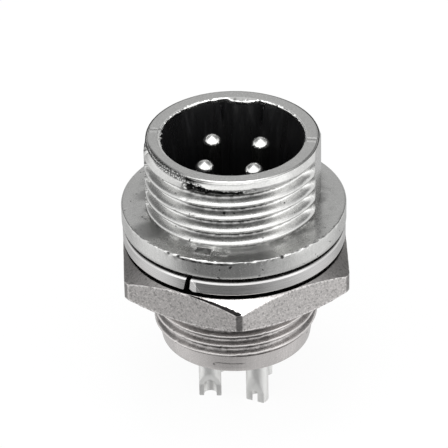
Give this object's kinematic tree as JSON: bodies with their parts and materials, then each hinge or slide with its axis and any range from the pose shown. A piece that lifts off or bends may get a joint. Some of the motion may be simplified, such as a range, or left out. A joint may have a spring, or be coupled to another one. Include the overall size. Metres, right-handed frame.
{
  "type": "panel-mount circular connector plug",
  "caption": "Round metal panel plug with a keyed pin cavity, threaded coupling collar, flange, split lock washer, hex nut and solder cups.",
  "frame": {"origin": "centre of the flange's underside, in the plane where it seats on the panel", "axes": "+Z along the plug's axis, out of the mating end; +Y towards the polarising key; +X to the right, through one of the casting's parting flats"},
  "size_m": [0.0164, 0.017, 0.0203],
  "materials": {
    "plated_casting": "nickel-plated zinc casting, satin with ragged flash lines",
    "black_moulding": "glossy black moulding",
    "plated_contact": "silver-plated brass, bright",
    "spring_steel": "nickel-plated spring steel, drawn edges",
    "plated_nut": "nickel-plated, dull and finely grained sides, bright bevels"
  },
  "bodies": {
    "plug": {"shell": "plated_casting", "insulator": "black_moulding", "contact_pin_1": "plated_contact", "contact_pin_2": "plated_contact", "contact_pin_3": "plated_contact", "contact_pin_4": "plated_contact"},
    "washer": {"lock_washer": "spring_steel"},
    "nut": {"hex_nut": "plated_nut"}
  },
  "joints": [
    {"name": "washer_slide", "type": "slide", "parent": "plug", "child": "washer", "axis": [0, 0, 1], "range_m": [-0.00601, 0.0003]},
    {"name": "nut_screw", "type": "hinge", "parent": "washer", "child": "nut", "pos_m": [0, 0, -0.00281], "axis": [0, 0, 1], "range_deg": [-2880, 144]}
  ],
  "couplings": [
    {"joint": "washer_slide", "follows": "nut_screw", "m_per_rad": 0.00011937}
  ]
}
